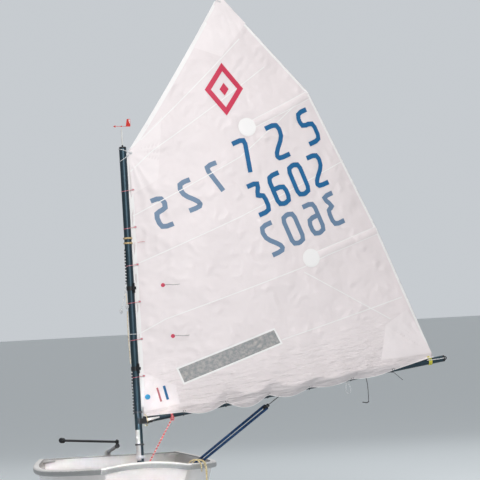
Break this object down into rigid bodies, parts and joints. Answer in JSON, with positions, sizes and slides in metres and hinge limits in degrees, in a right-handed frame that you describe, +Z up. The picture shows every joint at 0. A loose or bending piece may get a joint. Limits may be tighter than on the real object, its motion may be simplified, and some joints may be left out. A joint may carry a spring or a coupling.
{
  "type": "junior sailing dinghy with a sprit rig",
  "caption": "Small open dinghy with a blunt bow, a sprit rig swung out to port, a lifting daggerboard and a hung rudder with tiller and extension.",
  "frame": {"origin": "on the centreline at mid-length, in the plane of the water that the hull floats in", "axes": "+X forward to the bow, +Y to port, +Z up"},
  "size_m": [2.6133, 2.5766, 4.013],
  "materials": {
    "hull_white": "gloss gelcoat",
    "gunwale_white": "satin moulded strip",
    "inner_white": "satin gelcoat",
    "air_bag": "soft coated fabric",
    "webbing_black": "woven webbing",
    "stainless": "satin",
    "block_black": "moulded",
    "painter_cream": "braided rope",
    "spar_black": "black anodised",
    "fitting_black": "moulded",
    "staff": "satin",
    "vane_red": "satin",
    "sailcloth": "woven sailcloth",
    "batten_white": "satin",
    "tie_red": "braided line",
    "bridle_line": "braided line",
    "foil_wood": "gloss epoxy",
    "foil_trim": "satin",
    "aluminium_tube": "anodised"
  },
  "bodies": {
    "hull": {"hull_shell": "hull_white", "gunwale_port": "gunwale_white", "gunwale_starboard": "gunwale_white", "gunwale_bow": "gunwale_white", "gunwale_stern": "gunwale_white", "mast_thwart": "inner_white", "mast_step": "inner_white", "daggerboard_case": "inner_white", "midship_frame": "inner_white", "stern_knees": "inner_white", "air_bag_port": "air_bag", "air_bag_starboard": "air_bag", "air_bag_stern": "air_bag", "bag_straps": "webbing_black", "toe_straps": "webbing_black", "gudgeon_upper": "stainless", "gudgeon_lower": "stainless", "ratchet_base": "block_black", "ratchet_block": "block_black", "painter_line": "painter_cream", "painter_coil": "painter_cream"},
    "rig": {"mast": "spar_black", "masthead_plug": "fitting_black", "vane_staff": "staff", "mast_fittings": "fitting_black", "boom": "spar_black", "boom_jaws": "fitting_black", "boom_end_cap": "fitting_black", "sprit": "spar_black", "sprit_fittings": "fitting_black", "sail": "sailcloth", "battens": "batten_white", "luff_ties": "tie_red", "foot_ties": "tie_red", "spar_ties": "tie_red", "boom_bridle": "bridle_line", "bridle_block": "block_black"},
    "vane": {"wind_vane": "vane_red"},
    "board": {"daggerboard": "foil_wood", "board_handle": "foil_trim"},
    "rudder": {"rudder_blade": "foil_wood", "rudder_head": "foil_trim", "pintles": "stainless", "tiller": "aluminium_tube", "tiller_joint": "fitting_black"},
    "extension": {"extension_eye": "fitting_black", "extension_tube": "aluminium_tube", "extension_knob": "fitting_black"}
  },
  "joints": [
    {"name": "rig_swing", "type": "hinge", "parent": "hull", "child": "rig", "pos_m": [0.85, 0, 0.056], "axis": [-0.0349, 0, 0.9994], "range_deg": [-12, 168]},
    {"name": "vane_spin", "type": "hinge", "parent": "rig", "child": "vane", "pos_m": [0.76834, 0, 2.39457], "axis": [-0.0349, 0, 0.9994], "continuous": true},
    {"name": "board_lift", "type": "slide", "parent": "hull", "child": "board", "axis": [0, 0, 1], "range_m": [0, 0.7]},
    {"name": "rudder_turn", "type": "hinge", "parent": "hull", "child": "rudder", "pos_m": [-1.17575, 0, 0.12645], "axis": [-0.0844, 0, 0.9964], "range_deg": [-60, 60]},
    {"name": "extension_swing", "type": "hinge", "parent": "rudder", "child": "extension", "pos_m": [-0.58912, 0, 0.42807], "axis": [-0.0844, 0, 0.9964], "range_deg": [-110, 190]}
  ]
}
